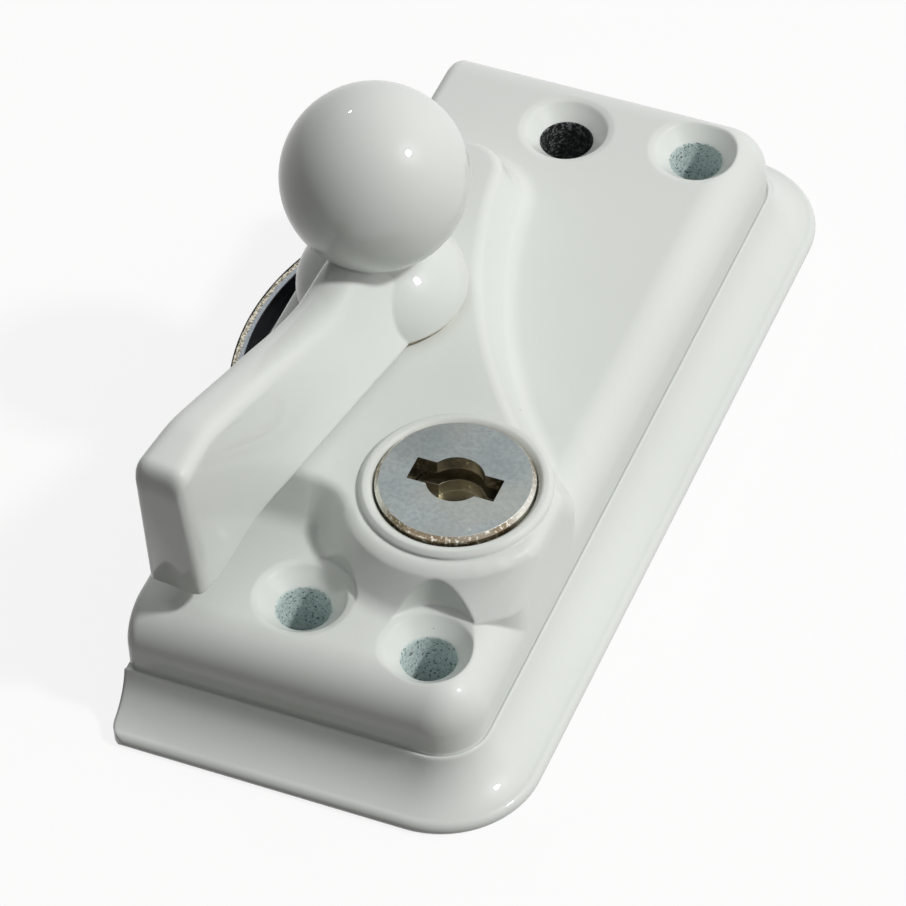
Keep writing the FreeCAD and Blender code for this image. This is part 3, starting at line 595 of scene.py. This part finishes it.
def dress():
    """Gives every carried-over node its material, and makes the arm's casting."""
    coat_arm = white_coat("white_coat_arm", with_bores=False)
    plated = plated_sheet("zinc_plated_sheet")
    steel = turned_metal(
        "plain_steel", dark=(0.30, 0.30, 0.31), light=(0.52, 0.52, 0.53), smooth=0.28, rough=0.5
    )
    bronze = turned_metal(
        "dull_bronze", dark=(0.16, 0.115, 0.06), light=(0.80, 0.70, 0.50), smooth=0.2, rough=0.5
    )
    brass = turned_metal(
        "turned_brass", dark=(0.09, 0.075, 0.045), light=(0.46, 0.43, 0.33), smooth=0.22, rough=0.45
    )
    looks = {
        "housing": white_coat("white_coat_housing", with_bores=True),
        "swing_arm": coat_arm,
        "hook_cam": plated,
        "locking_lever": plated,
        "lock_barrel": lock_steel("satin_lock_steel"),
        "hub_washer": bronze,
        "follower_bush": bronze,
        "key_follower": brass,
    }
    for name, node in frame["nodes"].items():
        node.data.materials.clear()
        node.data.materials.append(looks.get(name, steel))
    make_arm(coat_arm)


def add_camera():
    """Camera at the photograph's place and angle."""
    right = Vector((math.cos(CAMERA_TURN), math.sin(CAMERA_TURN), 0))
    ahead = Vector((-math.sin(CAMERA_TURN), math.cos(CAMERA_TURN), 0))
    view = ahead * math.cos(CAMERA_DROP) - Vector((0, 0, math.sin(CAMERA_DROP)))
    up = ahead * math.sin(CAMERA_DROP) + Vector((0, 0, math.cos(CAMERA_DROP)))
    x = right * math.cos(CAMERA_ROLL) + up * math.sin(CAMERA_ROLL)
    y = up * math.cos(CAMERA_ROLL) - right * math.sin(CAMERA_ROLL)
    turn = Matrix((x, y, -view)).transposed().to_4x4()
    data = bpy.data.cameras.new("camera")
    data.sensor_width = CAMERA_SENSOR
    data.lens = CAMERA_LENS
    data.clip_start = CAMERA_NEAREST
    camera = bpy.data.objects.new("camera", data)
    camera.matrix_world = Matrix.Translation(CAMERA_PLACE) @ turn
    bpy.context.scene.collection.objects.link(camera)
    bpy.context.scene.camera = camera


def add_lamp(name, direction, distance, size, watts, colour):
    """Round lamp that faces the part."""
    data = bpy.data.lights.new(name, "AREA")
    data.shape = "DISK"
    data.size = size
    data.energy = watts
    data.color = colour
    lamp = bpy.data.objects.new(name, data)
    lamp.location = direction.normalized() * distance
    lamp.rotation_euler = direction.to_track_quat("Z", "Y").to_euler()
    bpy.context.scene.collection.objects.link(lamp)


def seen_directly(tree):
    """1 for rays from the camera, mirror rays and rays through glass."""
    path = tree.nodes.new("ShaderNodeLightPath")
    total = path.outputs["Is Camera Ray"]
    for name in ("Is Glossy Ray", "Is Transmission Ray"):
        node = tree.nodes.new("ShaderNodeMath")
        node.operation = "MAXIMUM"
        tree.links.new(total, node.inputs[0])
        tree.links.new(path.outputs[name], node.inputs[1])
        total = node.outputs[0]
    return total


def add_world():
    """Soft sky, dimmer towards the near side, and white where it is seen."""
    world = bpy.data.worlds.new("studio")
    world.use_nodes = True
    bpy.context.scene.world = world
    tree = world.node_tree
    tree.nodes.clear()
    slope = tree.nodes.new("ShaderNodeVectorMath")
    slope.operation = "DOT_PRODUCT"
    slope.inputs[1].default_value = SKY_SLOPE
    direction = tree.nodes.new("ShaderNodeTexCoord").outputs["Generated"]
    tree.links.new(direction, slope.inputs[0])
    level = tree.nodes.new("ShaderNodeMath")
    level.operation = "ADD"
    level.use_clamp = True
    level.inputs[1].default_value = SKY_LEVEL
    tree.links.new(slope.outputs["Value"], level.inputs[0])
    sky = tree.nodes.new("ShaderNodeBackground")
    sky.inputs["Color"].default_value = SKY_COLOUR
    tree.links.new(level.outputs[0], sky.inputs["Strength"])
    seen = tree.nodes.new("ShaderNodeBackground")
    seen.inputs["Color"].default_value = SKY_SEEN
    mix = tree.nodes.new("ShaderNodeMixShader")
    out = tree.nodes.new("ShaderNodeOutputWorld")
    tree.links.new(seen_directly(tree), mix.inputs["Fac"])
    tree.links.new(sky.outputs[0], mix.inputs[1])
    tree.links.new(seen.outputs[0], mix.inputs[2])
    tree.links.new(mix.outputs[0], out.inputs["Surface"])


def add_floor():
    """Pale floor that keeps a soft part of the object's shadow."""
    corners = [(-1, -1), (1, -1), (1, 1), (-1, 1)]
    points = [(x * FLOOR_REACH, y * FLOOR_REACH, -FLOOR_GAP) for x, y in corners]
    mesh = bpy.data.meshes.new("floor")
    mesh.from_pydata(points, [], [(0, 1, 2, 3)])
    floor = bpy.data.objects.new("floor", mesh)
    bpy.context.scene.collection.objects.link(floor)
    n = Nodes("pale_floor")
    seen = seen_directly(n.tree)
    n.set("Base Color", n.mix(seen, FLOOR_BOUNCE, FLOOR_PALE))
    n.set("Roughness", FLOOR_ROUGH)
    n.set("Specular IOR Level", 0.0)
    white = n.add("ShaderNodeEmission")
    mix = n.add("ShaderNodeMixShader")
    n.feed(n.math("MULTIPLY", seen, FLOOR_WHITE_SHARE), mix.inputs["Fac"])
    n.feed(n.shader.outputs[0], mix.inputs[1])
    n.feed(white.outputs[0], mix.inputs[2])
    n.feed(mix.outputs[0], n.tree.nodes["Material Output"].inputs["Surface"])
    mesh.materials.append(n.material)


dress()
add_camera()
add_lamp("sun_lamp", SUN_FROM, distance=1.1, size=0.12, watts=7.4, colour=(1.0, 1.0, 0.985))
add_lamp("glint_lamp", GLINT_FROM, distance=1.0, size=0.06, watts=0.5, colour=(0.95, 0.98, 1.0))
add_world()
add_floor()
scene = bpy.context.scene
scene.view_settings.view_transform = "Standard"
